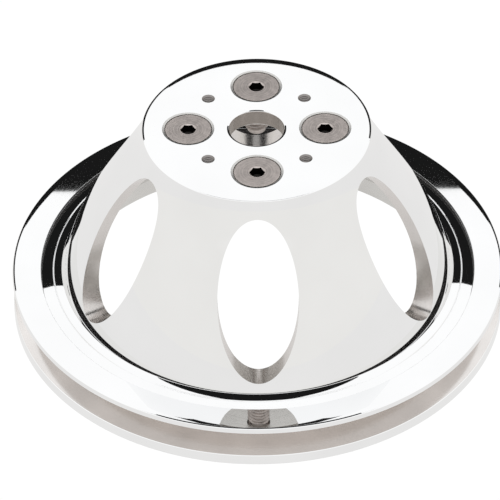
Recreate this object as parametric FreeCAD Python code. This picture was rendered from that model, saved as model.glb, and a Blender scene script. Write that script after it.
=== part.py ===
"""Single-groove V-belt pulley for an engine water pump, with its four hub screws.

The pulley is one turned aluminium piece: a flat hub, a flared hollow cone with six
windows, and a grooved belt rim. Four flat-head socket screws clamp the hub to the pump.
Frame: millimetres, +Z up along the pulley's axis, origin on the axis in the plane of
the rim's rear face, on which the pulley rests. The hub face is at the top.
"""
import FreeCAD
import Part
import math
import os

# Overall sizes
RIM_DIAMETER = 175.0
OVERALL_HEIGHT = 78.0

# Hub plate
HUB_FACE_DIAMETER = 80.0
HUB_THICKNESS = 6.35
HUB_SEAT_RADIUS = 33.5
HUB_CORNER_RADIUS = 3.0
PILOT_BORE_DIAMETER = 19.05
PILOT_REAR_CHAMFER = 0.8

# Buffed edges: a nearly flat bevel that ends in a small round
BEVEL_WIDTH = 0.8
BEVEL_DROP = 0.2
HOLE_BEVEL_DROP = 0.12
EDGE_ROUND = 0.4

# Cone: the angles from the pulley's axis at which it leaves the hub and meets the foot,
# and how far each angle pulls the curve, as shares of the cone's height
CONE_TOP_ANGLE = 8.0
CONE_TOP_PULL = 0.20
CONE_FOOT_ANGLE = 19.0
CONE_FOOT_PULL = 0.745

# Cone wall, measured square to the axis
WALL_TOP = 6.6
WALL_MIDDLE = 4.9
WALL_FOOT = 8.2
WALL_FOOT_ABOVE_RIM = 1.5

# Windows through the cone
WINDOW_COUNT = 6
WINDOW_WIDTH = 28.0
WINDOW_TOP_BELOW_HUB = 0.15
WINDOW_ABOVE_RIM = 3.8
FIRST_WINDOW_ANGLE = 270.0

# Belt rim
RIM_WIDTH = 16.5
RIM_FACE_WIDTH = 10.1
RIM_WALL = 7.1
RIM_BORE_DEPTH = 7.0

# Inside the rim's face: a step down, then two rings that rise to the cone, with a fine
# seam groove between them
STEP_DEPTH = 1.2
OUTER_RING_WIDTH = 4.5
OUTER_RING_RISE = 0.8
SEAM_WIDTH = 0.5
SEAM_DEPTH = 0.25
INNER_RING_WIDTH = 3.0
INNER_RING_RISE = 0.6

# V groove for a 3/8 inch (10 mm class) belt
GROOVE_TOP_WIDTH = 10.3
GROOVE_DEPTH = 9.4
GROOVE_ANGLE = 36.0
UPPER_LAND = 2.2

# Bolt circle, shared by the screws and the cover's tapped holes
BOLT_CIRCLE = 47.625
SCREW_COUNT = 4
TAPPED_HOLE_ANGLE = 45.0
TAPPED_HOLE_DIAMETER = 3.45
TAPPED_HOLE_MOUTH = 4.6

# Flat-head socket screw, 5/16 inch
SHANK_DIAMETER = 7.94
SCREW_LENGTH = 19.05
HEAD_DIAMETER = 16.1
HEAD_RIM_HEIGHT = 0.5
HEAD_ANGLE = 82.0
HEAD_EDGE_ROUND = 0.15
THREAD_DEPTH = 0.45
NECK_LENGTH = 0.85
TIP_CHAMFER = 0.8
SOCKET_ACROSS_FLATS = 4.76
SOCKET_DEPTH = 3.0
SOCKET_CHAMFER = 0.35

# Clearances between a screw and its hole
SHANK_CLEARANCE = 0.23
SEAT_CLEARANCE = 0.10
HEAD_SIDE_CLEARANCE = 0.25
HEAD_BELOW_FACE = 0.15

# Places worked out from the sizes above
RIM_RADIUS = RIM_DIAMETER / 2
HUB_RADIUS = HUB_FACE_DIAMETER / 2
HUB_REAR_Z = OVERALL_HEIGHT - HUB_THICKNESS
RIM_FACE_INNER_RADIUS = RIM_RADIUS - RIM_FACE_WIDTH
SEAM_RADIUS = RIM_FACE_INNER_RADIUS - OUTER_RING_WIDTH
STEP_Z = RIM_WIDTH - STEP_DEPTH
SEAM_Z = STEP_Z + OUTER_RING_RISE
CONE_FOOT_RADIUS = SEAM_RADIUS - INNER_RING_WIDTH
CONE_FOOT_Z = SEAM_Z + INNER_RING_RISE
GROOVE_BOTTOM_RADIUS = RIM_RADIUS - GROOVE_DEPTH
RIM_BORE_RADIUS = GROOVE_BOTTOM_RADIUS - RIM_WALL
HUB_EDGE_Z = OVERALL_HEIGHT - BEVEL_DROP
GROOVE_TOP_Z = RIM_WIDTH - UPPER_LAND
GROOVE_LOW_Z = GROOVE_TOP_Z - GROOVE_TOP_WIDTH
GROOVE_SIDE_RUN = GROOVE_DEPTH * math.tan(math.radians(GROOVE_ANGLE / 2))
SCREW_TOP_Z = OVERALL_HEIGHT - HEAD_BELOW_FACE
SHANK_RADIUS = SHANK_DIAMETER / 2
HEAD_RADIUS = HEAD_DIAMETER / 2
NECK_RADIUS = SHANK_RADIUS - THREAD_DEPTH
HEAD_CONE_HEIGHT = (HEAD_RADIUS - NECK_RADIUS) / math.tan(math.radians(HEAD_ANGLE / 2))
BORE_RADIUS = PILOT_BORE_DIAMETER / 2

UP = FreeCAD.Vector(0, 0, 1)
AXIS_POINT = FreeCAD.Vector(0, 0, 0)
THROUGH = 2.0


def at(radius, z):
    """A point of a turned outline, in the XZ plane."""
    return FreeCAD.Vector(radius, 0, z)


def line(start, end):
    return Part.LineSegment(start, end).toShape()


def curve(start, start_pull, end_pull, end):
    """A smooth curve that leaves towards start_pull and arrives from end_pull."""
    bezier = Part.BezierCurve()
    bezier.setPoles([start, start_pull, end_pull, end])
    return bezier.toShape()


def turn(edges):
    """The solid that a closed outline sweeps round the pulley's axis."""
    face = Part.Face(Part.Wire(edges))
    return face.revolve(AXIS_POINT, UP, 360)


def round_edges(shape, wanted, radius):
    """Rounds the edges for which wanted(edge) holds."""
    return shape.makeFillet(radius, [edge for edge in shape.Edges if wanted(edge)])


def is_ring(edge, radius, z):
    """Whether an edge is a circle about the pulley's axis of that radius at that height."""
    if not isinstance(edge.Curve, Part.Circle):
        return False
    centre = edge.Curve.Center
    on_axis = math.hypot(centre.x, centre.y) < 1e-4
    same_place = abs(centre.z - z) < 1e-4
    return on_axis and same_place and abs(edge.Curve.Radius - radius) < 1e-4


def round_rings(shape, rings, radius):
    """Rounds the circular edges at the (radius, z) places given."""
    return round_edges(shape, lambda edge: any(is_ring(edge, r, z) for r, z in rings), radius)


def cone_outer_curve():
    """The cone's outer side, from the hub's bevel down to the rings at its foot."""
    height = HUB_EDGE_Z - CONE_FOOT_Z
    top = at(HUB_RADIUS, HUB_EDGE_Z)
    foot = at(CONE_FOOT_RADIUS, CONE_FOOT_Z)
    out = math.radians(CONE_TOP_ANGLE)
    back = math.radians(CONE_FOOT_ANGLE)
    top_pull = top + at(math.sin(out), -math.cos(out)) * (CONE_TOP_PULL * height)
    foot_pull = foot + at(-math.sin(back), math.cos(back)) * (CONE_FOOT_PULL * height)
    return curve(top, top_pull, foot_pull, foot)


def cone_radius_at(outer_curve, z):
    """The outer radius of the cone at a height."""
    level = line(at(0, z), at(RIM_RADIUS, z))
    return outer_curve.distToShape(level)[1][0][0].x


def cone_inner_curve(outer_curve):
    """The cone's inner side, a wall's thickness inside the outer one."""
    top_z = HUB_REAR_Z - HUB_CORNER_RADIUS
    foot_z = RIM_WIDTH + WALL_FOOT_ABOVE_RIM
    middle_z = (top_z + foot_z) / 2
    points = [
        at(cone_radius_at(outer_curve, top_z) - WALL_TOP, top_z),
        at(cone_radius_at(outer_curve, middle_z) - WALL_MIDDLE, middle_z),
        at(cone_radius_at(outer_curve, foot_z) - WALL_FOOT, foot_z),
    ]
    spline = Part.BSplineCurve()
    spline.interpolate(points)
    return spline.toShape(), points


def hub_outline(outer_curve):
    """The hub's front face and edge, in to the pilot bore and along the rear face."""
    bore_mouth = BORE_RADIUS + BEVEL_WIDTH
    inner_curve, inner_points = cone_inner_curve(outer_curve)
    corner_top = at(HUB_SEAT_RADIUS, HUB_REAR_Z)
    places = [
        at(HUB_RADIUS, HUB_EDGE_Z),
        at(HUB_RADIUS - BEVEL_WIDTH, OVERALL_HEIGHT),
        at(bore_mouth, OVERALL_HEIGHT),
        at(BORE_RADIUS, HUB_EDGE_Z),
        at(BORE_RADIUS, HUB_REAR_Z + PILOT_REAR_CHAMFER),
        at(BORE_RADIUS + PILOT_REAR_CHAMFER, HUB_REAR_Z),
        corner_top,
    ]
    edges = [line(a, b) for a, b in zip(places, places[1:])]
    corner_pull = at(inner_points[0].x - HUB_CORNER_RADIUS / 3, HUB_REAR_Z)
    edges.append(curve(corner_top, corner_pull, corner_pull, inner_points[0]))
    return edges + [inner_curve], inner_points[-1]


def rim_outline(start):
    """The rim from the cone's inner foot round the belt groove to the cone's outer foot."""
    places = [
        start,
        at(RIM_BORE_RADIUS, RIM_BORE_DEPTH),
        at(RIM_BORE_RADIUS, 0),
        at(RIM_RADIUS, 0),
        at(RIM_RADIUS, GROOVE_LOW_Z),
        at(GROOVE_BOTTOM_RADIUS, GROOVE_LOW_Z + GROOVE_SIDE_RUN),
        at(GROOVE_BOTTOM_RADIUS, GROOVE_TOP_Z - GROOVE_SIDE_RUN),
        at(RIM_RADIUS, GROOVE_TOP_Z),
        at(RIM_RADIUS, RIM_WIDTH - BEVEL_DROP),
        at(RIM_RADIUS - BEVEL_WIDTH, RIM_WIDTH),
        at(RIM_FACE_INNER_RADIUS, RIM_WIDTH),
        at(RIM_FACE_INNER_RADIUS, STEP_Z),
        at(SEAM_RADIUS + SEAM_WIDTH / 2, SEAM_Z),
        at(SEAM_RADIUS, SEAM_Z - SEAM_DEPTH),
        at(SEAM_RADIUS - SEAM_WIDTH / 2, SEAM_Z),
        at(CONE_FOOT_RADIUS, CONE_FOOT_Z),
    ]
    return [line(a, b) for a, b in zip(places, places[1:])]


def turned_blank():
    """The pulley before its holes and windows: hub, hollow cone and grooved rim."""
    outer_curve = cone_outer_curve()
    hub_edges, inner_foot = hub_outline(outer_curve)
    blank = turn(Part.__sortEdges__(hub_edges + rim_outline(inner_foot) + [outer_curve]))
    sharp_rings = [
        (RIM_RADIUS, 0),
        (RIM_RADIUS, GROOVE_LOW_Z),
        (RIM_RADIUS, GROOVE_TOP_Z),
        (RIM_RADIUS, RIM_WIDTH - BEVEL_DROP),
        (RIM_BORE_RADIUS, 0),
        (BORE_RADIUS, HUB_EDGE_Z),
        (HUB_RADIUS, HUB_EDGE_Z),
    ]
    return round_rings(blank, sharp_rings, EDGE_ROUND)


def window_cutter():
    """An oval bar along +X that cuts one window square to the pulley's axis."""
    low_z = RIM_WIDTH + WINDOW_ABOVE_RIM
    high_z = HUB_REAR_Z - WINDOW_TOP_BELOW_HUB
    height = high_z - low_z
    centre = FreeCAD.Vector(HUB_SEAT_RADIUS / 2, 0, (low_z + high_z) / 2)
    oval = Part.Ellipse(
        centre + UP * (height / 2),
        centre + FreeCAD.Vector(0, WINDOW_WIDTH / 2, 0),
        centre,
    )
    face = Part.Face(Part.Wire(oval.toShape()))
    return face.extrude(FreeCAD.Vector(RIM_RADIUS, 0, 0))


def turned_to(shape, angle):
    """A copy of a shape turned about the pulley's axis."""
    copy = shape.copy()
    copy.rotate(AXIS_POINT, UP, angle)
    return copy


def on_bolt_circle(angle):
    """The point on the bolt circle at an angle, at the hub face's height."""
    radians = math.radians(angle)
    radius = BOLT_CIRCLE / 2
    return FreeCAD.Vector(radius * math.cos(radians), radius * math.sin(radians), 0)


def turned_solid(places):
    """A solid of revolution on the axis from its (radius, z) outline."""
    points = [at(r, z) for r, z in places]
    return turn(Part.makePolygon(points + [points[0]]).Edges)


def screw_hole_cutter():
    """The countersunk clearance hole of one screw, with its buffed mouth."""
    mouth = HEAD_RADIUS + HEAD_SIDE_CLEARANCE
    hole = SHANK_RADIUS + SHANK_CLEARANCE
    slope = math.tan(math.radians(HEAD_ANGLE / 2))
    seat_at_head = SCREW_TOP_Z - HEAD_RIM_HEIGHT - SEAT_CLEARANCE
    seat_top = seat_at_head + HEAD_SIDE_CLEARANCE / slope
    seat_low = seat_top - (mouth - hole) / slope
    return turned_solid([
        (0, OVERALL_HEIGHT + THROUGH),
        (mouth + BEVEL_WIDTH, OVERALL_HEIGHT + THROUGH),
        (mouth + BEVEL_WIDTH, OVERALL_HEIGHT),
        (mouth, OVERALL_HEIGHT - HOLE_BEVEL_DROP),
        (mouth, seat_top),
        (hole, seat_low),
        (hole, HUB_REAR_Z - THROUGH),
        (0, HUB_REAR_Z - THROUGH),
    ])


def tapped_hole_cutter():
    """A tapped hole for the cover's screw, bored at the thread's inner diameter."""
    hole = TAPPED_HOLE_DIAMETER / 2
    mouth = TAPPED_HOLE_MOUTH / 2
    return turned_solid([
        (0, OVERALL_HEIGHT + THROUGH),
        (mouth, OVERALL_HEIGHT + THROUGH),
        (mouth, OVERALL_HEIGHT),
        (hole, OVERALL_HEIGHT - (mouth - hole)),
        (hole, HUB_REAR_Z - THROUGH),
        (0, HUB_REAR_Z - THROUGH),
    ])


def pulley_body():
    """The one-piece pulley: the blank with its windows and hub holes cut."""
    window = window_cutter()
    screw_hole = screw_hole_cutter()
    tapped_hole = tapped_hole_cutter()
    cutters = []
    for index in range(WINDOW_COUNT):
        cutters.append(turned_to(window, FIRST_WINDOW_ANGLE + index * 360 / WINDOW_COUNT))
    for index in range(SCREW_COUNT):
        angle = index * 360 / SCREW_COUNT
        cutters.append(screw_hole.translated(on_bolt_circle(angle)))
        cutters.append(tapped_hole.translated(on_bolt_circle(angle + TAPPED_HOLE_ANGLE)))
    return turned_blank().cut(cutters)


def hex_socket_cutter():
    """The hexagonal key socket with its drilled point and chamfered mouth."""
    corner = SOCKET_ACROSS_FLATS / math.sqrt(3)
    floor_z = SCREW_TOP_Z - SOCKET_DEPTH
    corners = [
        FreeCAD.Vector(
            corner * math.cos(math.radians(60 * side)),
            corner * math.sin(math.radians(60 * side)),
            floor_z,
        )
        for side in range(6)
    ]
    hexagon = Part.Face(Part.makePolygon(corners + [corners[0]]))
    socket = hexagon.extrude(UP * (SOCKET_DEPTH + THROUGH))
    drill_radius = SOCKET_ACROSS_FLATS / 2 * 0.96
    point = Part.makeCone(0, drill_radius, drill_radius / 2, at(0, floor_z - drill_radius / 2))
    mouth = Part.makeCone(
        corner - SOCKET_CHAMFER, corner + SOCKET_CHAMFER / 2,
        SOCKET_CHAMFER * 1.5 / 2, at(0, SCREW_TOP_Z - SOCKET_CHAMFER * 1.5 / 2),
    )
    return socket.fuse([point, mouth])


def hub_screw(place):
    """A flat-head socket screw standing in its hole."""
    tip_z = SCREW_TOP_Z - SCREW_LENGTH
    rim_low = SCREW_TOP_Z - HEAD_RIM_HEIGHT
    neck_low = rim_low - HEAD_CONE_HEIGHT - NECK_LENGTH
    blank = turned_solid([
        (0, SCREW_TOP_Z),
        (HEAD_RADIUS, SCREW_TOP_Z),
        (HEAD_RADIUS, rim_low),
        (NECK_RADIUS, rim_low - HEAD_CONE_HEIGHT),
        (NECK_RADIUS, neck_low),
        (SHANK_RADIUS, neck_low - THREAD_DEPTH / 2),
        (SHANK_RADIUS, tip_z + TIP_CHAMFER),
        (SHANK_RADIUS - TIP_CHAMFER, tip_z),
        (0, tip_z),
    ])
    head_edges = [(HEAD_RADIUS, SCREW_TOP_Z), (HEAD_RADIUS, rim_low)]
    return round_rings(blank, head_edges, HEAD_EDGE_ROUND).cut(hex_socket_cutter()).translated(place)


def save(name, shape):
    solid = shape.Solids[0]
    print(name, "valid" if solid.isValid() else "BROKEN", "solids", len(shape.Solids),
          "volume", round(solid.Volume, 1))
    solid.exportStep("parts/" + name + ".step")


def main():
    os.makedirs("parts", exist_ok=True)
    save("pulley_body", pulley_body())
    sides = ["right", "rear", "left", "front"]
    for index, side in enumerate(sides):
        save("hub_screw_" + side, hub_screw(on_bolt_circle(index * 360 / SCREW_COUNT)))


main()
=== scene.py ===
"""Belt pulley with its hub screws in a pale studio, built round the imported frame."""
import math

import bpy
from bpy.props import FloatProperty, FloatVectorProperty, IntProperty, PointerProperty
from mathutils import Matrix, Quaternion, Vector


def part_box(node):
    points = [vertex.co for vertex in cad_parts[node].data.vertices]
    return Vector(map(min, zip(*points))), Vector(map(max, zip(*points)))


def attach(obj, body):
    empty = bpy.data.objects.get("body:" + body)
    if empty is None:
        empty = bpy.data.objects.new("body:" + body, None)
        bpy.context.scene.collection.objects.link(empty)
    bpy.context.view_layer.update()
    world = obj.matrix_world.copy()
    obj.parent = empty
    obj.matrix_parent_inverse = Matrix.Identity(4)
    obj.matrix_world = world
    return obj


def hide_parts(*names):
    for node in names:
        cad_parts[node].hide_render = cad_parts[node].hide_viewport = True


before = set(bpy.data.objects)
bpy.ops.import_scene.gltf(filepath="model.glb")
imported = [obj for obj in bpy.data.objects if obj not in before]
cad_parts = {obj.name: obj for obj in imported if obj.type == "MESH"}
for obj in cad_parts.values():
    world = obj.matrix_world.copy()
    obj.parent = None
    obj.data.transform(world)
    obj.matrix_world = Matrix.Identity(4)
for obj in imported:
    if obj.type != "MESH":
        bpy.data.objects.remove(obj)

bl_info = {
    "name": "Belt Pulley",
    "version": (1, 0, 0),
    "blender": (4, 5, 0),
    "location": "View3D > Sidebar > Pulley",
    "description": "Builds a polished belt pulley with its hub screws, and a studio",
    "category": "Add Mesh",
}

MM = 0.001
TURN = 2 * math.pi
UP = Vector((0, 0, 1))
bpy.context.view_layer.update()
BODY_LOW, BODY_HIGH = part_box("pulley_body")
SCREWS = {
    "hub_screw_right": "screw_right",
    "hub_screw_rear": "screw_rear",
    "hub_screw_left": "screw_left",
    "hub_screw_front": "screw_front",
}
SCREW_LOW, SCREW_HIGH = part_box("hub_screw_right")
BOLT_CIRCLE_RADIUS = (SCREW_LOW.x + SCREW_HIGH.x) / 2
# Modelling distances: welding, holding points beside a round, and cutters' overrun.
WELD = 0.002 * MM
SPLIT_WELD = 0.001 * MM
HOLDING_GAP = 0.05 * MM
THROUGH = 2 * MM
ROUND_STEP = math.radians(22.5)

# Rounds that only break an edge.
SEAM_ROUND = 0.03 * MM
CRISP_ROUND = 0.05 * MM
FOOT_ROUND = 0.12 * MM
SOFT_ROUND = 0.15 * MM
GROOVE_ROUND = 0.3 * MM
RECESS_ROUND = 0.5 * MM
HOLLOW_ROUND = 1.5 * MM

# Facets of curves and cutters.
CONE_STEPS = 32
HOLLOW_STEPS = 14
CORNER_STEPS = 10
ROLL_OFF_STEPS = 4
RING_STEPS = 6
OVAL_STEPS = 128
HOLE_STEPS = 72
TAPPED_STEPS = 40
SOCKET_STEPS = 48

# The finishes of the uncut body, in the order of its material slots; the step slot is a
# near-black painted shade.
POLISHED, TURNED, GROOVE, BORE, STEP_PAINTED_SHADE, UNCUT_FINISHES = range(6)


def length(name, description, millimetres):
    """A size that a user can change, given in millimetres and kept in metres."""
    return FloatProperty(
        name=name, description=description, default=millimetres * MM,
        min=0, unit="LENGTH", precision=5)


def tone(name, description, colour):
    """A colour that a user can change."""
    return FloatVectorProperty(
        name=name, description=description, default=colour,
        min=0, max=1, size=3, subtype="COLOR")


def share(name, description, value):
    """A plain number between nothing and one."""
    return FloatProperty(
        name=name, description=description, default=value, min=0, max=1, subtype="FACTOR")


def degrees(name, description, value):
    """An angle that a user can change, given in degrees."""
    return FloatProperty(
        name=name, description=description, default=math.radians(value), subtype="ANGLE")


class PulleySizes(bpy.types.PropertyGroup):
    """Sizes of the turned body and its holes."""

    rim_radius: length("Rim radius", "Outside of the belt rim", BODY_HIGH.x / MM)
    height: length("Height", "Hub face above the rim's rear face", BODY_HIGH.z / MM)
    hub_radius: length("Hub radius", "Edge of the flat hub face", 40)
    hub_thickness: length("Hub thickness", "Thickness of the hub plate", 6.35)
    hub_seat_radius: length("Hub seat radius", "Flat on the hub's rear face", 33.5)
    hub_corner: length("Hub corner", "Round inside the hub's corner", 3)
    bore_radius: length("Bore radius", "Pilot bore", 9.525)
    bevel_width: length("Bevel width", "Buffed bevel on the polished edges", 0.8)
    bevel_drop: length("Bevel drop", "How far the buffed bevel falls", 0.2)
    hole_bevel_drop: length("Hole bevel drop", "Fall of the screw holes' bevels", 0.12)
    edge_round: length("Edge round", "Small round that ends a bevel", 0.4)
    roll_off_drop: length("Roll-off drop", "Fall of a flat towards its edge", 0.03)
    hub_roll_off: length("Hub roll-off", "Width of the hub face's fall", 2.6)
    rim_roll_off: length("Rim roll-off", "Width of the rim face's fall", 1.6)
    bore_chamfer: length("Bore chamfer", "Rear chamfer of the pilot bore", 0.8)
    cone_top_angle: degrees("Cone top angle", "Slant of the cone under the hub", 8)
    cone_foot_angle: degrees("Cone foot angle", "Slant of the cone at its foot", 19)
    cone_top_pull: share("Cone top pull", "Pull of the top slant, by height", 0.20)
    cone_foot_pull: share("Cone foot pull", "Pull of the foot slant, by height", 0.745)
    wall_top: length("Wall at the top", "Cone wall under the hub", 6.6)
    wall_middle: length("Wall at the middle", "Cone wall half way down", 4.9)
    wall_foot: length("Wall at the foot", "Cone wall over the rim", 8.2)
    hollow_foot: length("Hollow foot", "Where the hollow starts over the rim", 1.5)
    rim_width: length("Rim width", "Height of the belt rim", 16.5)
    rim_face: length("Rim face", "Flat ring of the rim's front face", 10.1)
    rim_bore_radius: length("Rim bore radius", "Opening of the rim's rear face", 71)
    rim_bore_depth: length("Rim bore depth", "Straight part of the rear opening", 7)
    step_depth: length("Step depth", "Step down inside the rim's face", 1.2)
    outer_ring_width: length("Outer ring width", "Ring inside the step", 4.5)
    outer_ring_rise: length("Outer ring rise", "How far the outer ring rises", 0.8)
    seam_width: length("Seam width", "Fine groove between the rings", 0.5)
    seam_depth: length("Seam depth", "Depth of the fine groove", 0.25)
    inner_ring_width: length("Inner ring width", "Ring at the cone's foot", 3)
    inner_ring_rise: length("Inner ring rise", "How far the inner ring rises", 0.6)
    ring_hollow: length("Ring hollow", "Hollow across the inner ring", 0.018)
    upper_land: length("Upper land", "Rim outside above the groove", 2.2)
    groove_width: length("Groove width", "Mouth of the V groove", 10.3)
    groove_depth: length("Groove depth", "Depth of the V groove", 9.4)
    groove_angle: degrees("Groove angle", "Angle between the groove's walls", 36)
    window_width: length("Window width", "Width of an oval window", 28)
    window_above_rim: length("Window above rim", "Lowest point over the rim", 3.8)
    window_below_hub: length("Window below hub", "Highest point under the hub", 0.15)
    window_start: length("Window start", "Radius where a window's cut starts", 30)
    window_count: IntProperty(
        name="Windows", description="Number of oval windows", default=6, min=1)
    tapped_radius: length("Tapped hole radius", "Inside of a tapped hole", 1.725)
    tapped_mouth: length("Tapped hole mouth", "Countersink of a tapped hole", 2.3)
    tapped_pitch: length("Tapped hole pitch", "Distance between thread rings", 0.794)
    tapped_depth: length("Tapped thread depth", "Depth of the thread rings", 0.36)
    steps: IntProperty(
        name="Steps", description="Facets round the pulley", default=240, min=24)


class ScrewSizes(bpy.types.PropertyGroup):
    """Sizes of a flat-head socket screw and its hole."""

    top: length("Top", "Height of the head's top face", SCREW_HIGH.z / MM)
    tip: length("Tip", "Height of the screw's tip", SCREW_LOW.z / MM)
    shank_radius: length("Shank radius", "Crest of the thread", 3.97)
    root_radius: length("Root radius", "Root of the thread", 3.2)
    pitch: length("Pitch", "Distance between thread turns", 1.411)
    head_radius: length("Head radius", "Outside of the head", 8.05)
    head_rim: length("Head rim", "Straight edge of the head", 0.5)
    head_angle: degrees("Head angle", "Angle of the head's cone", 82)
    head_round: length("Head round", "Round on the head's edge", 0.15)
    socket_flats: length("Socket flats", "Hexagon socket across its flats", 4.76)
    socket_depth: length("Socket depth", "Depth of the hexagon socket", 3)
    socket_chamfer: length("Socket chamfer", "Chamfer on the socket's mouth", 0.35)
    side_clearance: length("Side clearance", "Gap round the head", 0.25)
    seat_clearance: length("Seat clearance", "Gap under the head's cone", 0.10)
    shank_clearance: length("Shank clearance", "Gap round the shank", 0.23)
    steps: IntProperty(
        name="Steps", description="Facets round a screw", default=72, min=12)


class Finishes(bpy.types.PropertyGroup):
    """Colours and gloss of the metals, and the near-black painted shade of the step wall and the
    sockets.
    """

    aluminium: tone("Aluminium", "Polished aluminium", (0.93, 0.935, 0.94))
    turned: tone("Turned aluminium", "Aluminium left as turned", (0.72, 0.71, 0.69))
    groove: tone("Groove", "Belt groove's walls", (0.84, 0.81, 0.79))
    bore: tone("Bore", "Wall of the pilot bore", (0.45, 0.41, 0.38))
    steel: tone("Steel", "Bare steel of the screws", (0.56, 0.51, 0.485))
    window: tone("Window walls", "Milled walls of the windows", (0.74, 0.71, 0.69))
    # Painted shade: the step wall gets a near-black colour that stands in for its shade, not an
    # unpolished finish.
    step: tone("Step wall", "Unpolished wall inside the rim face", (0.035, 0.033, 0.032))
    # Painted shade: a near-black colour inside the hexagon sockets stands in for the shade of the
    # recess.
    socket: tone("Socket", "Dark oxide left inside the sockets", (0.03, 0.028, 0.027))
    thread: tone("Tapped thread", "Inside of the tapped holes", (0.32, 0.30, 0.29))
    polish: share("Polish", "Roughness of the polished faces", 0.018)
    turned_roughness: share("Turned roughness", "Roughness of the turned faces", 0.26)
    steel_roughness: share("Steel roughness", "Roughness of the screws", 0.38)


class StudioSizes(bpy.types.PropertyGroup):
    """Camera, floor and light."""

    lens: FloatProperty(
        name="Lens", description="Focal length in millimetres", default=291.35, min=1)
    elevation: degrees("Elevation", "Camera's height angle", 40.207)
    roll: degrees("Roll", "Camera's roll", -0.445)
    distance: length("Distance", "Camera to the aimed point", 1441.9)
    aim: FloatVectorProperty(
        name="Aim", description="Point in the middle of the view",
        default=(-2.65 * MM, 0, 22.61 * MM), subtype="TRANSLATION", unit="LENGTH")
    floor_size: length("Floor size", "Side of the pale floor", 8000)
    card_distance: length("Card distance", "Dark card behind the object", 1000)
    card_width: length("Card width", "Width of the dark card behind", 1240)
    card_height: length("Card height", "Top of the dark card behind", 803)
    side_card_width: length("Side card width", "Width of a dark card at the side", 320)
    side_card_rise: length("Side card rise", "How far it stands over the one behind", 90)
    side_card_place: length("Side card place", "Its middle, to the left or right", 460)
    side_card_step: length("Side card step", "How far it stands before the one behind", 10)
    overhead_height: length("Overhead height", "Height of the dark card above", 2250)
    overhead_width: length("Overhead width", "Width of the dark card above", 1120)
    overhead_depth: length("Overhead depth", "Front to back of the card above", 570)
    overhead_shift: length("Overhead shift", "Its middle, before the card behind", 275)


# ------------------------------------------------------------------ modelling tools

def deselect():
    """Leaves nothing selected, in object mode."""
    bpy.ops.object.select_all(action="DESELECT")


def pick(obj, *others):
    """Selects these objects, the first one active."""
    deselect()
    for each in (obj, *others):
        each.select_set(True)
    bpy.context.view_layer.objects.active = obj


def name_piece(obj, name):
    obj.name = name
    obj.data.name = name
    return obj


def edit(obj):
    """Opens an object's mesh for editing with nothing selected."""
    pick(obj)
    bpy.ops.object.mode_set(mode="EDIT")
    bpy.ops.mesh.select_all(action="DESELECT")


def leave_edit():
    bpy.ops.object.mode_set(mode="OBJECT")


def at(radius, height):
    """A point of a turned outline."""
    return Vector((radius, 0, height))


def draw(name, points):
    """Extrudes one vertex along the points, and stays in edit mode."""
    deselect()
    bpy.ops.mesh.primitive_plane_add(size=MM)
    obj = name_piece(bpy.context.object, name)
    bpy.ops.object.mode_set(mode="EDIT")
    bpy.ops.mesh.select_all(action="SELECT")
    bpy.ops.mesh.merge(type="CENTER")
    bpy.ops.transform.translate(value=points[0])
    for before, after in zip(points, points[1:]):
        bpy.ops.mesh.extrude_vertices_move(TRANSFORM_OT_translate={"value": after - before})
    return obj


def lathe(name, points, steps):
    """Turns an outline about the pulley's axis."""
    obj = draw(name, points)
    bpy.ops.mesh.select_all(action="SELECT")
    bpy.ops.mesh.spin(steps=steps, angle=TURN, center=(0, 0, 0), axis=UP)
    bpy.ops.mesh.select_all(action="SELECT")
    bpy.ops.mesh.remove_doubles(threshold=WELD)
    bpy.ops.mesh.normals_make_consistent(inside=False)
    leave_edit()
    return obj


def duplicate(obj, name, move=(0, 0, 0), turn=0):
    """A copy with its own mesh, moved and then turned about the pulley's axis."""
    pick(obj)
    bpy.ops.object.duplicate()
    copy = name_piece(bpy.context.object, name)
    bpy.ops.object.mode_set(mode="EDIT")
    bpy.ops.mesh.select_all(action="SELECT")
    bpy.ops.transform.translate(value=move)
    if turn:
        bpy.ops.transform.rotate(value=-turn, orient_axis="Z", center_override=(0, 0, 0))
    leave_edit()
    return copy


def join(first, others):
    """Makes one object of several."""
    pick(first, *others)
    bpy.ops.object.join()
    return first


def clean(obj):
    """Merges doubled vertices and points the faces outwards."""
    edit(obj)
    bpy.ops.mesh.select_all(action="SELECT")
    bpy.ops.mesh.remove_doubles(threshold=WELD)
    bpy.ops.mesh.normals_make_consistent(inside=False)
    leave_edit()


def give(obj, *materials):
    """Gives an object these materials, the first on all its faces."""
    obj.data.materials.clear()
    for material in materials:
        obj.data.materials.append(material)


def cut(obj, cutter):
    """Cuts one closed mesh from another, and keeps the cutter's material on the cut."""
    boolean = obj.modifiers.new("cut", "BOOLEAN")
    boolean.operation = "DIFFERENCE"
    boolean.solver = "MANIFOLD"
    boolean.material_mode = "TRANSFER"
    boolean.object = cutter
    pick(obj)
    bpy.ops.object.modifier_apply(modifier=boolean.name)
    bpy.data.objects.remove(cutter)


def rounded(corners):
    """Points of a closed outline, each corner (point, radius) rounded and held.

    Beside each round a holding point keeps the next flat truly flat when shaded.
    """
    points = []
    count = len(corners)
    for index, (corner, radius) in enumerate(corners):
        if not radius:
            points.append(corner)
            continue
        back = (corners[index - 1][0] - corner).normalized()
        ahead = (corners[(index + 1) % count][0] - corner).normalized()
        points += round_points(corner, back, ahead, radius)
    return points


def round_points(corner, back, ahead, radius):
    """The points of one rounded corner with its two holding points."""
    inside = back.angle(ahead)
    reach = radius / math.tan(inside / 2)
    centre = corner + (back + ahead).normalized() * (radius / math.sin(inside / 2))
    start = corner + back * reach - centre
    end = corner + ahead * reach - centre
    pieces = max(2, math.ceil((math.pi - inside) / ROUND_STEP))
    arc = [centre + start.slerp(end, step / pieces) * radius for step in range(pieces + 1)]
    first = corner + back * (reach + HOLDING_GAP)
    last = corner + ahead * (reach + HOLDING_GAP)
    return [first] + arc + [last]


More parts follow.
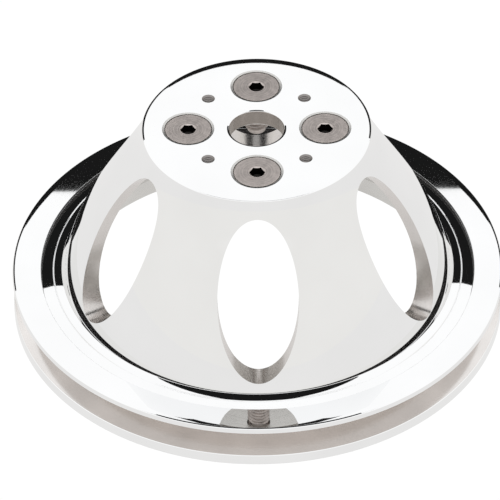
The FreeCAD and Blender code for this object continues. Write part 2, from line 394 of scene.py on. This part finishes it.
def bezier(start, start_pull, end_pull, end, count):
    """Points along a smooth curve, without its two ends."""
    points = []
    for index in range(1, count):
        t = index / count
        u = 1 - t
        points.append(
            start * u ** 3 + start_pull * (3 * u * u * t)
            + end_pull * (3 * u * t * t) + end * t ** 3)
    return points


# ------------------------------------------------------------------ finishes

class NodeMaterial:
    """A material and its nodes, made in plain steps."""

    def __init__(self, name):
        self.material = bpy.data.materials.new(name)
        self.material.use_nodes = True
        self.tree = self.material.node_tree
        self.shader = self.tree.nodes["Principled BSDF"]

    def add(self, kind, **settings):
        node = self.tree.nodes.new(kind)
        for name, value in settings.items():
            setattr(node, name, value)
        return node

    def link(self, output, socket):
        self.tree.links.new(output, socket)

    def math(self, operation, first, second=None):
        node = self.add("ShaderNodeMath", operation=operation)
        for socket, value in zip(node.inputs, (first, second)):
            if isinstance(value, bpy.types.NodeSocket):
                self.link(value, socket)
            elif value is not None:
                socket.default_value = value
        return node.outputs[0]

    def position(self, centre):
        """The place on the object, measured from a centre."""
        place = self.add("ShaderNodeTexCoord").outputs["Object"]
        mapping = self.add("ShaderNodeMapping")
        mapping.inputs["Location"].default_value = -Vector(centre)
        self.link(place, mapping.inputs["Vector"])
        return mapping.outputs["Vector"]

    def radius_and_height(self, place):
        """How far a place is from the axis, and how high."""
        parts = self.add("ShaderNodeSeparateXYZ")
        self.link(place, parts.inputs[0])
        flat = self.add("ShaderNodeCombineXYZ")
        self.link(parts.outputs["X"], flat.inputs["X"])
        self.link(parts.outputs["Y"], flat.inputs["Y"])
        size = self.add("ShaderNodeVectorMath", operation="LENGTH")
        self.link(flat.outputs[0], size.inputs[0])
        return size.outputs["Value"], parts.outputs["Z"]

    def rings(self, place, spacing, detail=3):
        """Fine uneven rings about the axis, as a lathe tool or a buff leaves them."""
        radius, height = self.radius_and_height(place)
        along = self.add("ShaderNodeCombineXYZ")
        self.link(radius, along.inputs["X"])
        self.link(height, along.inputs["Y"])
        return self.noise(along.outputs[0], 1 / spacing, detail)

    def noise(self, place, scale, detail=3, roughness=0.5):
        noise = self.add("ShaderNodeTexNoise")
        noise.inputs["Scale"].default_value = scale
        noise.inputs["Detail"].default_value = detail
        noise.inputs["Roughness"].default_value = roughness
        self.link(place, noise.inputs["Vector"])
        return noise.outputs["Fac"]

    def spread(self, value, low, high):
        """Stretches a noise's middle range to run from low to high."""
        node = self.add("ShaderNodeMapRange")
        node.inputs["From Min"].default_value = 0.3
        node.inputs["From Max"].default_value = 0.7
        node.inputs["To Min"].default_value = low
        node.inputs["To Max"].default_value = high
        self.link(value, node.inputs["Value"])
        return node.outputs["Result"]

    def shades(self, value, *stops):
        """A colour that follows a value through (position, colour) stops."""
        node = self.add("ShaderNodeValToRGB")
        ramp = node.color_ramp
        while len(ramp.elements) < len(stops):
            ramp.elements.new(0.5)
        for element, (position, colour) in zip(ramp.elements, stops):
            element.position = position
            element.color = (*colour, 1)
        self.link(value, node.inputs["Fac"])
        return node.outputs["Color"]

    def bump(self, height, distance, strength=1.0):
        node = self.add("ShaderNodeBump")
        node.inputs["Strength"].default_value = strength
        node.inputs["Distance"].default_value = distance
        self.link(height, node.inputs["Height"])
        return node.outputs["Normal"]

    def metal(self, colour, roughness):
        self.shader.inputs["Metallic"].default_value = 1.0
        self.shader.inputs["Base Color"].default_value = (*colour, 1)
        self.shader.inputs["Roughness"].default_value = roughness


def darker(colour, share_left):
    return tuple(channel * share_left for channel in colour)


def polished_finish(finishes):
    """Mirror-polished aluminium with faint buffing rings and a slow ripple."""
    made = NodeMaterial("polished_aluminium")
    colour = finishes.aluminium
    made.metal(colour, finishes.polish)
    place = made.position((0, 0, 0))
    rings = made.rings(place, 0.35 * MM, 4)
    cloud = made.noise(place, 45, 2)
    made.link(made.shades(cloud, (0.3, darker(colour, 0.975)), (0.7, colour)),
              made.shader.inputs["Base Color"])
    made.link(made.spread(rings, finishes.polish * 0.7, finishes.polish * 1.4),
              made.shader.inputs["Roughness"])
    made.link(made.bump(rings, 0.0002 * MM, 0.4), made.shader.inputs["Normal"])
    return made.material


def turned_finish(name, colour, roughness, spacing, depth):
    """Aluminium as the lathe left it, with its feed lines."""
    made = NodeMaterial(name)
    made.metal(colour, roughness)
    place = made.position((0, 0, 0))
    rings = made.rings(place, spacing, 2)
    cloud = made.noise(place, 60, 3)
    made.link(made.shades(cloud, (0.25, darker(colour, 0.88)), (0.75, colour)),
              made.shader.inputs["Base Color"])
    made.link(made.spread(rings, roughness * 0.75, roughness * 1.25),
              made.shader.inputs["Roughness"])
    made.link(made.bump(rings, depth), made.shader.inputs["Normal"])
    return made.material


def steel_finish(name, centre, finishes):
    """Bare steel of a screw, turned, with scratches that run round its head."""
    made = NodeMaterial(name)
    colour = finishes.steel
    made.metal(colour, finishes.steel_roughness)
    place = made.position(centre)
    rings = made.rings(place, 0.22 * MM, 4)
    worn = made.noise(place, 420, 4, 0.65)
    mixed = made.math("ADD", made.math("MULTIPLY", rings, 0.6),
                      made.math("MULTIPLY", worn, 0.4))
    made.link(made.shades(mixed, (0.36, darker(colour, 0.62)), (0.5, colour),
                          (0.66, tuple(min(1, c * 1.35) for c in colour))),
              made.shader.inputs["Base Color"])
    made.link(made.spread(worn, finishes.steel_roughness * 0.8,
                          finishes.steel_roughness * 1.2),
              made.shader.inputs["Roughness"])
    made.link(made.bump(rings, 0.02 * MM, 0.6), made.shader.inputs["Normal"])
    return made.material


# ------------------------------------------------------------------ the turned body

def cone_outer(sizes):
    """The cone's outer side from the hub's bevel to its foot, ends included."""
    top = at(sizes.hub_radius, sizes.height - sizes.bevel_drop)
    foot = at(sizes.rim_radius - sizes.rim_face - sizes.outer_ring_width
              - sizes.inner_ring_width,
              sizes.rim_width - sizes.step_depth + sizes.outer_ring_rise
              + sizes.inner_ring_rise)
    height = top.z - foot.z
    out = sizes.cone_top_angle
    back = sizes.cone_foot_angle
    top_pull = top + at(math.sin(out), -math.cos(out)) * (sizes.cone_top_pull * height)
    foot_pull = foot + at(-math.sin(back), math.cos(back)) * (sizes.cone_foot_pull * height)
    return [top] + bezier(top, top_pull, foot_pull, foot, CONE_STEPS) + [foot]


def radius_at(curve, height):
    """The radius of a falling curve at a height."""
    for upper, lower in zip(curve, curve[1:]):
        if upper.z >= height >= lower.z:
            part = (upper.z - height) / (upper.z - lower.z)
            return upper.x + (lower.x - upper.x) * part
    raise ValueError("the curve does not reach that height")


def cone_inner(sizes, outer):
    """The cone's inner side, from its foot up to the hub's corner."""
    top_z = sizes.height - sizes.hub_thickness - sizes.hub_corner
    foot_z = sizes.rim_width + sizes.hollow_foot
    middle_z = (top_z + foot_z) / 2
    foot = at(radius_at(outer, foot_z) - sizes.wall_foot, foot_z)
    middle = at(radius_at(outer, middle_z) - sizes.wall_middle, middle_z)
    top = at(radius_at(outer, top_z) - sizes.wall_top, top_z)
    points = []
    for index in range(HOLLOW_STEPS + 1):
        t = index / HOLLOW_STEPS
        points.append(
            foot * ((1 - t) * (1 - 2 * t)) + middle * (4 * t * (1 - t)) + top * (t * (2 * t - 1)))
    return points


def roll_off(sizes, radius, height, width):
    """The last part of a flat face, which polishing has let fall a little to its edge."""
    points = [(at(radius - width - HOLDING_GAP, height), 0)]
    for step in range(ROLL_OFF_STEPS + 1):
        part = step / ROLL_OFF_STEPS
        drop = sizes.roll_off_drop * part * part
        points.append((at(radius - width * (1 - part), height - drop), 0))
    points[-1] = (points[-1][0], SOFT_ROUND)
    return points


def inner_ring(sizes, inner, outer):
    """The sloping ring at the cone's foot, a little hollow across, from in to out."""
    points = []
    for step in range(RING_STEPS + 1):
        part = step / RING_STEPS
        straight = inner.lerp(outer, part)
        fall = sizes.ring_hollow * 4 * part * (1 - part)
        points.append((at(straight.x, straight.z - fall), 0))
    points[0] = (inner, FOOT_ROUND)
    points[-1] = (outer, SEAM_ROUND)
    return points


def front_corners(sizes, outer):
    """The polished outline: hub face, cone, the rings at its foot and the rim face."""
    bevel = sizes.bevel_width
    face_inner = sizes.rim_radius - sizes.rim_face
    step_z = sizes.rim_width - sizes.step_depth
    seam = face_inner - sizes.outer_ring_width
    seam_z = step_z + sizes.outer_ring_rise
    half = sizes.seam_width / 2
    return (
        [(at(sizes.bore_radius + bevel, sizes.height), SOFT_ROUND)]
        + roll_off(sizes, sizes.hub_radius - bevel, sizes.height, sizes.hub_roll_off)
        + [(outer[0], sizes.edge_round)]
        + [(point, 0) for point in outer[1:-1]]
        + inner_ring(sizes, outer[-1], at(seam - half, seam_z))
        + [(at(seam, seam_z - sizes.seam_depth), CRISP_ROUND),
           (at(seam + half, seam_z), SEAM_ROUND),
           (at(face_inner, step_z), CRISP_ROUND),
           (at(face_inner, sizes.rim_width), CRISP_ROUND)]
        + roll_off(sizes, sizes.rim_radius - bevel, sizes.rim_width, sizes.rim_roll_off)
        + [(at(sizes.rim_radius, sizes.rim_width - sizes.bevel_drop), sizes.edge_round)]
    )


def groove_corners(sizes):
    """The belt groove, from its upper edge to its lower edge."""
    top = sizes.rim_width - sizes.upper_land
    low = top - sizes.groove_width
    run = sizes.groove_depth * math.tan(sizes.groove_angle / 2)
    bottom = sizes.rim_radius - sizes.groove_depth
    return [
        (at(sizes.rim_radius, top), sizes.edge_round),
        (at(bottom, top - run), GROOVE_ROUND),
        (at(bottom, low + run), GROOVE_ROUND),
        (at(sizes.rim_radius, low), sizes.edge_round),
    ]


def rear_corners(sizes, outer):
    """The rear outline: rim's rear face, the hollow cone and the hub's rear face."""
    rear_z = sizes.height - sizes.hub_thickness
    inner = cone_inner(sizes, outer)
    seat = at(sizes.hub_seat_radius, rear_z)
    pull = at(inner[-1].x - sizes.hub_corner / 3, rear_z)
    chamfer = sizes.bore_chamfer
    return (
        [(at(sizes.rim_radius, 0), sizes.edge_round),
         (at(sizes.rim_bore_radius, 0), sizes.edge_round),
         (at(sizes.rim_bore_radius, sizes.rim_bore_depth), RECESS_ROUND),
         (inner[0], HOLLOW_ROUND)]
        + [(point, 0) for point in inner[2:]]
        + [(point, 0) for point in bezier(inner[-1], pull, pull, seat, CORNER_STEPS)]
        + [(seat, 0),
           (at(sizes.bore_radius + chamfer, rear_z), FOOT_ROUND),
           (at(sizes.bore_radius, rear_z + chamfer), FOOT_ROUND),
           (at(sizes.bore_radius, sizes.height - sizes.bevel_drop), sizes.edge_round)]
    )


def zone(face, sizes):
    """The finish of a face of the uncut body, as its material slot."""
    centre = face.center
    radius = math.hypot(centre.x, centre.y)
    outward = (face.normal.x * centre.x + face.normal.y * centre.y) / radius
    top = sizes.rim_width - sizes.upper_land
    low = top - sizes.groove_width
    under_hub = sizes.height - sizes.hub_thickness + 0.9 * MM
    step_radius = sizes.rim_radius - sizes.rim_face
    in_groove = sizes.rim_bore_radius + 1 * MM < radius < sizes.rim_radius - sizes.edge_round
    in_rim = radius > sizes.rim_bore_radius + 0.5 * MM and centre.z > low
    looks_inside = outward < -0.02 or face.normal.z < -0.5
    if low < centre.z < top and in_groove:
        return GROOVE
    if radius < sizes.bore_radius + 0.2 * MM:
        return BORE
    # The small wall inside the rim face gets the near-black painted shade.
    if centre.z > top and abs(radius - step_radius) < 0.2 * MM and outward < -0.5:
        return STEP_PAINTED_SHADE
    if centre.z < under_hub and looks_inside and not in_rim:
        return TURNED
    return POLISHED


def turned_blank(sizes, finishes):
    """The body before its windows and holes, zone by zone, each with its finish."""
    outer = cone_outer(sizes)
    corners = front_corners(sizes, outer) + groove_corners(sizes) + rear_corners(sizes, outer)
    outline = rounded(corners)
    blank = lathe("pulley", outline + outline[:1], sizes.steps)
    polished = polished_finish(finishes)
    turned = turned_finish("turned_aluminium", finishes.turned, finishes.turned_roughness,
                           spacing=0.5 * MM, depth=0.01 * MM)
    groove = turned_finish("groove_walls", finishes.groove, 0.16,
                           spacing=0.3 * MM, depth=0.002 * MM)
    bore = turned_finish("bore_wall", finishes.bore, 0.22,
                         spacing=0.3 * MM, depth=0.004 * MM)
    # Painted shade: a near-black finish on the step wall.
    step = turned_finish("step_wall_painted_shade", finishes.step, 0.4,
                         spacing=0.3 * MM, depth=0.002 * MM)
    give(blank, polished, turned, groove, bore, step)
    for face in blank.data.polygons:
        face.material_index = zone(face, sizes)
    return blank


def window_cutters(sizes):
    """Oval bars, one for each window, that start inside the hollow cone."""
    low = sizes.rim_width + sizes.window_above_rim
    high = sizes.height - sizes.hub_thickness - sizes.window_below_hub
    start = sizes.window_start
    reach = sizes.rim_radius - start
    deselect()
    bpy.ops.mesh.primitive_cylinder_add(
        vertices=OVAL_STEPS, radius=1, depth=reach,
        location=(start + reach / 2, 0, (low + high) / 2),
        rotation=(0, math.pi / 2, 0))
    bar = name_piece(bpy.context.object, "window_cutter")
    bar.scale = ((high - low) / 2, sizes.window_width / 2, 1)
    bpy.ops.object.transform_apply(location=True, rotation=True, scale=True)
    bars = []
    for index in range(sizes.window_count):
        turn = TURN * (index + 0.5) / sizes.window_count
        bars.append(duplicate(bar, f"window_cutter_{index}", turn=turn))
    bpy.data.objects.remove(bar)
    return bars


def screw_hole_cutter(sizes, screw):
    """The countersunk clearance hole of a screw, on the pulley's axis."""
    mouth = screw.head_radius + screw.side_clearance
    hole = screw.shank_radius + screw.shank_clearance
    slope = math.tan(screw.head_angle / 2)
    seat_top = (screw.top - screw.head_rim - screw.seat_clearance
                + screw.side_clearance / slope)
    seat_low = seat_top - (mouth - hole) / slope
    bevel = sizes.bevel_width
    bottom = sizes.height - sizes.hub_thickness - THROUGH
    return lathe("screw_hole_cutter", [
        at(0, sizes.height + THROUGH),
        at(mouth + bevel, sizes.height + THROUGH),
        at(mouth + bevel, sizes.height),
        at(mouth, sizes.height - sizes.hole_bevel_drop),
        at(mouth, seat_top),
        at(hole, seat_low),
        at(hole, bottom),
        at(0, bottom),
    ], HOLE_STEPS)


def tapped_hole_cutter(sizes):
    """A tapped hole with its countersunk mouth and the rings of its thread."""
    mouth = sizes.tapped_mouth
    hole = sizes.tapped_radius
    top = sizes.height
    bottom = top - sizes.hub_thickness - THROUGH
    pitch = sizes.tapped_pitch
    crest = hole + sizes.tapped_depth
    points = [at(0, top + THROUGH), at(mouth, top + THROUGH), at(mouth, top),
              at(hole, top - (mouth - hole))]
    height = points[-1].z - 0.1 * MM
    while height - pitch > bottom:
        points += [at(hole, height), at(crest, height - pitch * 0.42),
                   at(crest, height - pitch * 0.5), at(hole, height - pitch * 0.92)]
        height -= pitch
    points += [at(hole, bottom), at(0, bottom)]
    return lathe("tapped_hole_cutter", points, TAPPED_STEPS)


def keep_turned_shading(body, blank):
    """Gives the turned faces of a cut body the blank's own shading.

    The cut walls are split off while the shading is copied, and joined again.
    """
    walls = [face.material_index >= UNCUT_FINISHES for face in body.data.polygons]
    edit(body)
    bpy.ops.mesh.select_mode(type="FACE")
    leave_edit()
    body.data.polygons.foreach_set("select", walls)
    bpy.ops.object.mode_set(mode="EDIT")
    bpy.ops.mesh.split()
    bpy.ops.mesh.select_all(action="INVERT")
    body.vertex_groups.new(name="turned")
    bpy.ops.object.vertex_group_assign()
    leave_edit()
    copy_shading = body.modifiers.new("shading", "DATA_TRANSFER")
    copy_shading.object = blank
    copy_shading.use_loop_data = True
    copy_shading.data_types_loops = {"CUSTOM_NORMAL"}
    copy_shading.loop_mapping = "POLYINTERP_NEAREST"
    copy_shading.vertex_group = "turned"
    bpy.ops.object.modifier_apply(modifier=copy_shading.name)
    edit(body)
    bpy.ops.mesh.select_mode(type="VERT")
    bpy.ops.mesh.select_all(action="SELECT")
    bpy.ops.mesh.remove_doubles(threshold=SPLIT_WELD, use_sharp_edge_from_normals=True)
    leave_edit()
    body.vertex_groups.clear()


def hole_cutters(sizes, screw, finishes):
    """The four screw holes and, between them, the four tapped holes."""
    screw_hole = screw_hole_cutter(sizes, screw)
    tapped_hole = tapped_hole_cutter(sizes)
    give(screw_hole, turned_finish("screw_seats", finishes.turned, finishes.turned_roughness,
                                   spacing=0.4 * MM, depth=0.004 * MM))
    give(tapped_hole, turned_finish("tapped_holes", finishes.thread, 0.35,
                                    spacing=0.2 * MM, depth=0.002 * MM))
    out = (BOLT_CIRCLE_RADIUS, 0, 0)
    cutters = []
    for index in range(len(SCREWS)):
        turn = index * TURN / len(SCREWS)
        between = turn + TURN / len(SCREWS) / 2
        cutters.append(duplicate(screw_hole, "hole_cutter", move=out, turn=turn))
        cutters.append(duplicate(tapped_hole, "hole_cutter", move=out, turn=between))
    bpy.data.objects.remove(screw_hole)
    bpy.data.objects.remove(tapped_hole)
    return cutters


def make_body(sizes, screw, finishes):
    """The pulley's body with its windows and holes."""
    blank = turned_blank(sizes, finishes)
    pick(blank)
    bpy.ops.object.shade_smooth()
    body = duplicate(blank, "pulley_turned_body")
    window_finish = turned_finish("window_walls", finishes.window, 0.2,
                                  spacing=0.6 * MM, depth=0.002 * MM)
    cutters = window_cutters(sizes)
    for cutter in cutters:
        give(cutter, window_finish)
    cutters += hole_cutters(sizes, screw, finishes)
    cut(body, join(cutters[0], cutters[1:]))
    pick(body)
    bpy.ops.object.shade_smooth_by_angle(angle=math.radians(10))
    keep_turned_shading(body, blank)
    bpy.data.objects.remove(blank)
    return body


class PULLEY_OT_body(bpy.types.Operator):
    """Turn the pulley's body and cut its windows and holes"""

    bl_idname = "pulley.body"
    bl_label = "Turned body"

    def execute(self, context):
        scene = context.scene
        body = make_body(scene.pulley_sizes, scene.pulley_screw_sizes, scene.pulley_finishes)
        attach(body, "pulley")
        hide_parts("pulley_body")
        return {"FINISHED"}


# ------------------------------------------------------------------ the hub screws

def screw_head(screw, root):
    """The head and neck of a screw on the pulley's axis, open where the thread begins."""
    slope = math.tan(screw.head_angle / 2)
    rim_low = screw.top - screw.head_rim
    neck_z = rim_low - (screw.head_radius - root) / slope
    corners = [
        (at(screw.head_radius, screw.top), screw.head_round),
        (at(screw.head_radius, rim_low), screw.head_round),
    ]
    points = []
    places = [at(0, screw.top)] + [corner for corner, radius in corners] + [at(root, neck_z)]
    for index, (corner, radius) in enumerate(corners, start=1):
        back = (places[index - 1] - corner).normalized()
        ahead = (places[index + 1] - corner).normalized()
        points += round_points(corner, back, ahead, radius)
    return [places[0]] + points + [places[-1]], neck_z


def thread(screw, neck_z):
    """The screw's thread from its tip up to the neck, with closed ends."""
    pitch = screw.pitch
    start = screw.tip + 0.5 * MM
    turns = int((neck_z - 0.2 * MM - pitch - start) / pitch)
    profile = [
        at(screw.root_radius, start),
        at(screw.shank_radius, start + pitch * 0.40),
        at(screw.shank_radius, start + pitch * 0.53),
        at(screw.root_radius, start + pitch * 0.93),
        at(screw.root_radius, start + pitch),
    ]
    obj = draw("thread", profile)
    leave_edit()
    winding = obj.modifiers.new("winding", "SCREW")
    winding.axis = "Z"
    winding.angle = TURN
    winding.screw_offset = pitch
    winding.iterations = turns
    winding.steps = screw.steps
    winding.render_steps = screw.steps
    pick(obj)
    bpy.ops.object.modifier_apply(modifier=winding.name)
    clean(obj)
    close_thread(obj, screw, neck_z, start, start + pitch * (turns + 1))
    return obj


def select_vertices(obj, indices):
    """Opens an object's mesh for editing with only these vertices selected."""
    edit(obj)
    bpy.ops.mesh.select_mode(type="VERT")
    leave_edit()
    for index in indices:
        obj.data.vertices[index].select = True
    bpy.ops.object.mode_set(mode="EDIT")


def open_vertices(obj):
    """The vertices on a mesh's open edges."""
    edit(obj)
    bpy.ops.mesh.select_mode(type="VERT")
    bpy.ops.mesh.select_non_manifold()
    leave_edit()
    return [vertex.index for vertex in obj.data.vertices if vertex.select]


def close_thread(obj, screw, neck_z, low, high):
    """Brings each open end of the thread to a plain ring, and shuts the tip."""
    middle = (low + high) / 2
    for at_tip, plane in ((True, screw.tip + 0.25 * MM), (False, neck_z)):
        ring = [index for index in open_vertices(obj)
                if (obj.data.vertices[index].co.z < middle) == at_tip]
        select_vertices(obj, ring)
        bpy.ops.mesh.extrude_region_move()
        bpy.ops.transform.resize(value=(1, 1, 0), center_override=(0, 0, plane))
        leave_edit()
        flatten_ring(obj, screw.root_radius)
        if at_tip:
            bpy.ops.object.mode_set(mode="EDIT")
            bpy.ops.mesh.extrude_region_move()
            bpy.ops.transform.resize(value=(0.9, 0.9, 1), center_override=(0, 0, plane))
            bpy.ops.transform.translate(value=(0, 0, screw.tip - plane))
            bpy.ops.mesh.edge_face_add()
            leave_edit()


def flatten_ring(obj, radius):
    """Pulls the selected ring's vertices to one radius."""
    for vertex in obj.data.vertices:
        if vertex.select:
            flat = Vector((vertex.co.x, vertex.co.y, 0)).normalized() * radius
            vertex.co.x, vertex.co.y = flat.x, flat.y


def socket_cutters(screw):
    """The hexagon socket, its drilled point and its chamfered mouth."""
    corner = screw.socket_flats / math.sqrt(3)
    floor_z = screw.top - screw.socket_depth
    drill = screw.socket_flats / 2 * 0.96
    deselect()
    bpy.ops.mesh.primitive_cylinder_add(
        vertices=6, radius=corner, depth=screw.socket_depth + THROUGH,
        location=(0, 0, floor_z + (screw.socket_depth + THROUGH) / 2),
        rotation=(0, 0, math.pi / 6))
    hexagon = name_piece(bpy.context.object, "socket_cutter")
    bpy.ops.object.transform_apply(location=True, rotation=True, scale=True)
    point = lathe("socket_point", [
        at(0, floor_z + 0.4 * MM), at(drill, floor_z + 0.4 * MM),
        at(drill, floor_z), at(0, floor_z - drill / 2)], SOCKET_STEPS)
    mouth = lathe("socket_mouth", [
        at(0, screw.top + THROUGH), at(corner + 0.1 * MM, screw.top + THROUGH),
        at(corner + 0.1 * MM, screw.top),
        at(corner - screw.socket_chamfer, screw.top - screw.socket_chamfer * 0.9),
        at(0, screw.top - screw.socket_chamfer * 0.9)], SOCKET_STEPS)
    return [hexagon, point, mouth]


def make_screw(screw, steel, dark):
    """One screw on the pulley's axis, ready to be copied to its place."""
    points, neck_z = screw_head(screw, screw.root_radius)
    head = lathe("screw", points, screw.steps)
    body = join(head, [thread(screw, neck_z)])
    clean(body)
    give(body, steel)
    # The hexagon and its drilled point take the near-black painted shade of the socket.
    for cutter, finish in zip(socket_cutters(screw), (dark, dark, steel)):
        give(cutter, finish)
        cut(body, cutter)
    pick(body)
    bpy.ops.object.shade_smooth_by_angle(angle=math.radians(20))
    return body


class PULLEY_OT_screws(bpy.types.Operator):
    """Make one hub screw and copy it to its four places"""

    bl_idname = "pulley.screws"
    bl_label = "Hub screws"

    def execute(self, context):
        scene = context.scene
        screw = scene.pulley_screw_sizes
        finishes = scene.pulley_finishes
        steel = steel_finish("screw_steel", (0, 0, 0), finishes)
        # The socket's near-black finish is painted shade.
        dark = turned_finish("screw_sockets_painted_shade", finishes.socket, 0.45,
                             spacing=0.2 * MM, depth=0.002 * MM)
        first = make_screw(screw, steel, dark)
        for index, (node, body) in enumerate(SCREWS.items()):
            low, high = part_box(node)
            centre = (low + high) / 2
            place = Vector((centre.x, centre.y, 0))
            copy = duplicate(first, node + "_finished", move=place)
            copy.material_slots[0].material = steel_finish(
                f"screw_steel_{index}", place, finishes)
            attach(copy, body)
            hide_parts(node)
        bpy.data.objects.remove(first)
        return {"FINISHED"}


# ------------------------------------------------------------------ floor, light and camera

def plain_glow(name, colour, strength):
    """A surface of one even brightness."""
    made = NodeMaterial(name)
    made.shader.inputs["Base Color"].default_value = (0, 0, 0, 1)
    made.shader.inputs["Specular IOR Level"].default_value = 0
    made.shader.inputs["Emission Color"].default_value = (*colour, 1)
    made.shader.inputs["Emission Strength"].default_value = strength
    return made.material


def sheet(name, size, location, rotation=(0, 0, 0)):
    """A flat rectangle that stands in its mesh's own place."""
    deselect()
    bpy.ops.mesh.primitive_plane_add(size=1, location=location, rotation=rotation)
    obj = name_piece(bpy.context.object, name)
    obj.scale = (size[0], size[1], 1)
    bpy.ops.object.transform_apply(location=True, rotation=True, scale=True)
    return obj


def only_in_reflections(obj):
    obj.visible_camera = False
    obj.visible_diffuse = False
    obj.visible_shadow = False
    obj.visible_transmission = False


def make_floor(studio):
    """A pale floor, and the softer grey that the metal sees in its place."""
    floor = sheet("floor", (studio.floor_size,) * 2, (0, 0, 0))
    give(floor, plain_glow("pale_floor", (1, 1, 1), 1.02))
    floor.visible_glossy = False
    seen = sheet("floor_in_reflections", (studio.floor_size,) * 2, (0, 0, -0.01 * MM))
    give(seen, plain_glow("soft_grey", (0.97, 0.96, 0.95), 0.88))
    only_in_reflections(seen)


def make_cards(studio):
    """Dark cards that draw the dark lines in the polish: behind, at its sides, above."""
    back = studio.card_distance
    upright = (math.pi / 2, 0, 0)
    side_size = (studio.side_card_width, studio.card_height + studio.side_card_rise)
    side_back = back - studio.side_card_step
    side = studio.side_card_place
    cards = [
        sheet("dark_card_behind", (studio.card_width, studio.card_height),
              (0, back, studio.card_height / 2), upright),
        sheet("dark_card_left", side_size, (-side, side_back, side_size[1] / 2), upright),
        sheet("dark_card_right", side_size, (side, side_back, side_size[1] / 2), upright),
        sheet("dark_card_above", (studio.overhead_width, studio.overhead_depth),
              (0, back - studio.overhead_shift, studio.overhead_height)),
    ]
    dark = plain_glow("dark_card", (0.01, 0.01, 0.01), 1)
    for card in cards:
        give(card, dark)
        only_in_reflections(card)


def make_sky():
    """Even white light from above that softens to a warm grey low in front."""
    world = bpy.data.worlds.new("studio")
    bpy.context.scene.world = world
    world.use_nodes = True
    tree = world.node_tree
    tree.nodes.clear()
    place = tree.nodes.new("ShaderNodeTexCoord")
    parts = tree.nodes.new("ShaderNodeSeparateXYZ")
    ramp = tree.nodes.new("ShaderNodeValToRGB")
    light = tree.nodes.new("ShaderNodeBackground")
    output = tree.nodes.new("ShaderNodeOutputWorld")
    tree.links.new(place.outputs["Generated"], parts.inputs[0])
    tree.links.new(parts.outputs["Z"], ramp.inputs["Fac"])
    tree.links.new(ramp.outputs["Color"], light.inputs["Color"])
    tree.links.new(light.outputs[0], output.inputs["Surface"])
    low, high = ramp.color_ramp.elements
    low.position = 0.42
    low.color = (0.82, 0.81, 0.79, 1)
    high.position = 0.60
    high.color = (1.0, 1.0, 1.0, 1)
    light.inputs["Strength"].default_value = 1.06


def make_camera(studio):
    """The camera that looks down on the hub from the front."""
    bpy.ops.object.camera_add()
    camera = bpy.context.object
    camera.name = "camera"
    camera.data.lens = studio.lens
    camera.data.sensor_width = 36
    camera.data.clip_start = 0.05
    camera.data.clip_end = 50
    aim = Vector(studio.aim)
    rise = studio.elevation
    away = Vector((0, -math.cos(rise), math.sin(rise))) * studio.distance
    camera.location = aim + away
    look = (-away).to_track_quat("-Z", "Y")
    camera.rotation_mode = "QUATERNION"
    camera.rotation_quaternion = look @ Quaternion((0, 0, 1), studio.roll)
    bpy.context.scene.camera = camera


class PULLEY_OT_stage(bpy.types.Operator):
    """Lay the floor, set the light and place the camera"""

    bl_idname = "pulley.stage"
    bl_label = "Studio"

    def execute(self, context):
        studio = context.scene.pulley_studio
        make_floor(studio)
        make_cards(studio)
        make_sky()
        make_camera(studio)
        context.scene.view_settings.view_transform = "Standard"
        return {"FINISHED"}


class PULLEY_PT_sidebar(bpy.types.Panel):
    """Lists the pulley's pieces, sizes and finishes"""

    bl_label = "Belt pulley"
    bl_idname = "PULLEY_PT_sidebar"
    bl_space_type = "VIEW_3D"
    bl_region_type = "UI"
    bl_category = "Pulley"

    def draw(self, context):
        layout = self.layout
        for operator in OPERATORS:
            layout.operator(operator.bl_idname)
        for name in SETTINGS:
            box = layout.box()
            settings = getattr(context.scene, name)
            for field in settings.__annotations__:
                box.prop(settings, field)


OPERATORS = (PULLEY_OT_body, PULLEY_OT_screws, PULLEY_OT_stage)
SETTINGS = {
    "pulley_sizes": PulleySizes,
    "pulley_screw_sizes": ScrewSizes,
    "pulley_finishes": Finishes,
    "pulley_studio": StudioSizes,
}


def register():
    for kind in (*SETTINGS.values(), *OPERATORS, PULLEY_PT_sidebar):
        bpy.utils.register_class(kind)
    for name, kind in SETTINGS.items():
        setattr(bpy.types.Scene, name, PointerProperty(type=kind))


def unregister():
    for name in SETTINGS:
        delattr(bpy.types.Scene, name)
    for kind in (PULLEY_PT_sidebar, *reversed(OPERATORS), *reversed(list(SETTINGS.values()))):
        bpy.utils.unregister_class(kind)


def main():
    register()
    bpy.ops.pulley.body()
    bpy.ops.pulley.screws()
    bpy.ops.pulley.stage()
    bpy.context.view_layer.update()


if __name__ == "__main__":
    main()
